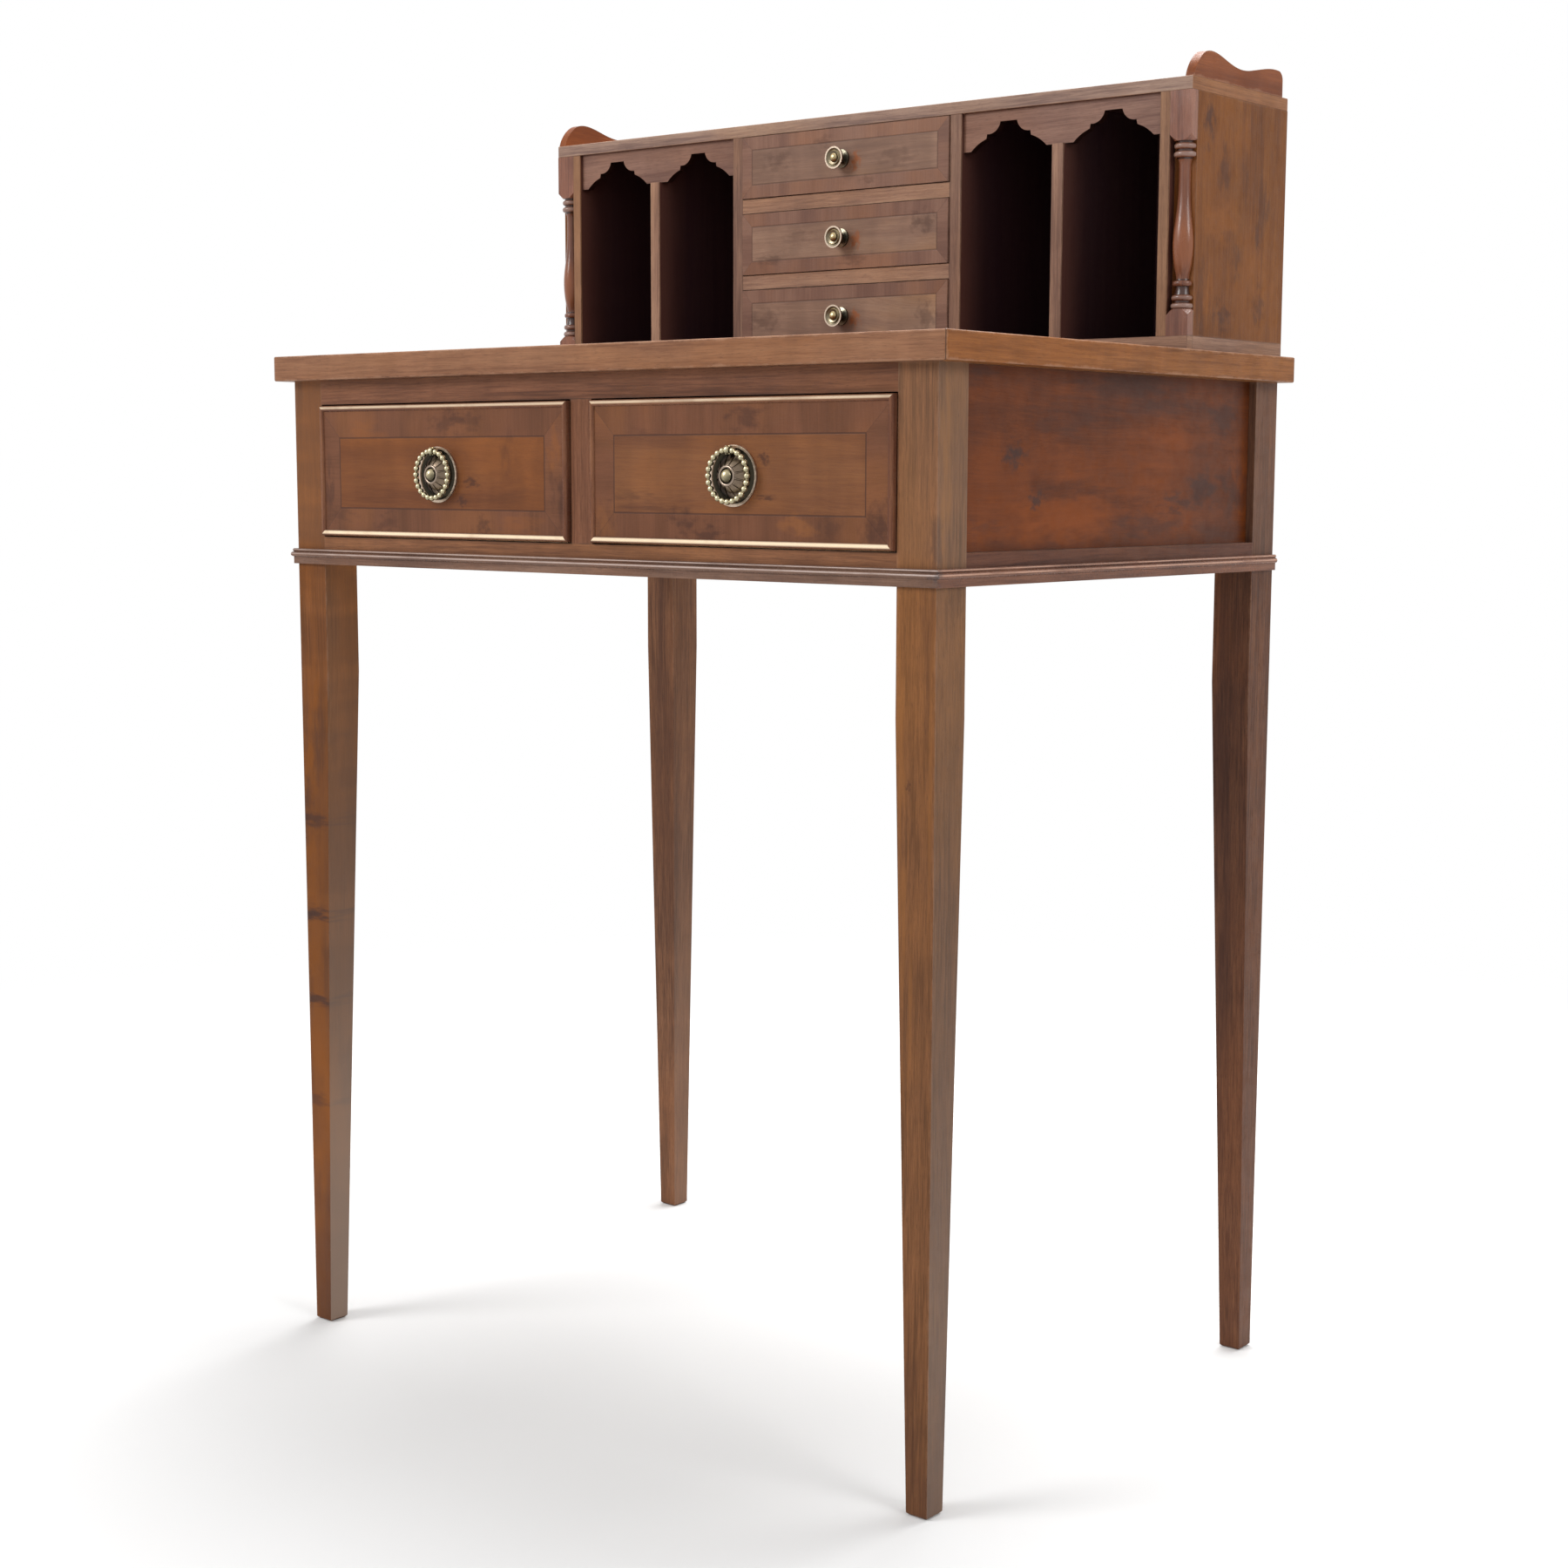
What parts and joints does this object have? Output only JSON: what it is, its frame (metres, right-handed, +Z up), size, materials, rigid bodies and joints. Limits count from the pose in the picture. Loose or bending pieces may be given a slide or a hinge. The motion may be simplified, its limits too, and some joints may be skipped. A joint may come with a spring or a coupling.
{
  "type": "writing desk",
  "caption": "Small writing desk on square tapered legs, with frieze drawers on ring handles under the top and an upper cabinet of small drawers between arched pigeonholes.",
  "frame": {"origin": "on the floor, under the middle of the desk top", "axes": "+Z up, -Y towards the sitter (the drawers open that way), +X to the sitter's right"},
  "size_m": [0.635, 0.4405, 0.9652],
  "materials": {
    "carcass_wood": "satin varnish over reddish brown mahogany",
    "front_wood": "polished figured veneer, crossbanded and strung",
    "bead_wood": "polished dark moulding",
    "top_wood": "polished yew-coloured veneer",
    "inner_wood": "bare oak-coloured lining, waxed",
    "brass": "aged brass, dark in the recesses"
  },
  "bodies": {
    "desk": {"leg_front_left": "carcass_wood", "leg_front_right": "carcass_wood", "leg_rear_left": "carcass_wood", "leg_rear_right": "carcass_wood", "front_top_rail": "carcass_wood", "front_bottom_rail": "carcass_wood", "front_muntin": "carcass_wood", "side_panel_left": "carcass_wood", "side_panel_right": "carcass_wood", "side_rail_left": "carcass_wood", "side_rail_right": "carcass_wood", "rear_panel": "inner_wood", "moulding_front": "bead_wood", "moulding_left": "bead_wood", "moulding_right": "bead_wood", "drawer_runners": "inner_wood", "drawer_guides": "inner_wood", "drawer_kickers": "inner_wood", "top_panel": "top_wood", "top_lipping_front": "top_wood", "top_lipping_left": "top_wood", "top_lipping_right": "top_wood", "gallery_base": "carcass_wood", "gallery_base_strip": "carcass_wood", "gallery_side_left": "carcass_wood", "gallery_side_right": "carcass_wood", "gallery_lining_left": "carcass_wood", "gallery_lining_right": "carcass_wood", "gallery_divider_left": "carcass_wood", "gallery_divider_right": "carcass_wood", "case_wall_left": "carcass_wood", "case_wall_right": "carcass_wood", "case_rails": "carcass_wood", "gallery_back": "inner_wood", "gallery_top": "top_wood", "apron_left": "carcass_wood", "apron_right": "carcass_wood", "spindle_left": "carcass_wood", "spindle_right": "carcass_wood", "scroll_left": "carcass_wood", "scroll_right": "carcass_wood"},
    "drawer_left": {"drawer_front_left": "front_wood", "drawer_bead_left": "bead_wood", "drawer_box_left": "inner_wood", "handle_plate_left": "brass"},
    "ring_left": {"handle_ring_left": "brass"},
    "drawer_right": {"drawer_front_right": "front_wood", "drawer_bead_right": "bead_wood", "drawer_box_right": "inner_wood", "handle_plate_right": "brass"},
    "ring_right": {"handle_ring_right": "brass"},
    "small_drawer_lower": {"small_front_lower": "front_wood", "small_box_lower": "inner_wood", "small_knob_lower": "brass"},
    "small_drawer_middle": {"small_front_middle": "front_wood", "small_box_middle": "inner_wood", "small_knob_middle": "brass"},
    "small_drawer_upper": {"small_front_upper": "front_wood", "small_box_upper": "inner_wood", "small_knob_upper": "brass"}
  },
  "joints": [
    {"name": "drawer_slide_left", "type": "slide", "parent": "desk", "child": "drawer_left", "axis": [0, -1, 0], "range_m": [0, 0.28]},
    {"name": "ring_hinge_left", "type": "hinge", "parent": "drawer_left", "child": "ring_left", "pos_m": [-0.14175, -0.2178, 0.6883], "axis": [-1, 0, 0], "range_deg": [0, 170]},
    {"name": "drawer_slide_right", "type": "slide", "parent": "desk", "child": "drawer_right", "axis": [0, -1, 0], "range_m": [0, 0.28]},
    {"name": "ring_hinge_right", "type": "hinge", "parent": "drawer_right", "child": "ring_right", "pos_m": [0.14175, -0.2178, 0.6883], "axis": [-1, 0, 0], "range_deg": [0, 170]},
    {"name": "small_slide_lower", "type": "slide", "parent": "desk", "child": "small_drawer_lower", "axis": [0, -1, 0], "range_m": [0, 0.085]},
    {"name": "small_slide_middle", "type": "slide", "parent": "desk", "child": "small_drawer_middle", "axis": [0, -1, 0], "range_m": [0, 0.085]},
    {"name": "small_slide_upper", "type": "slide", "parent": "desk", "child": "small_drawer_upper", "axis": [0, -1, 0], "range_m": [0, 0.085]}
  ]
}
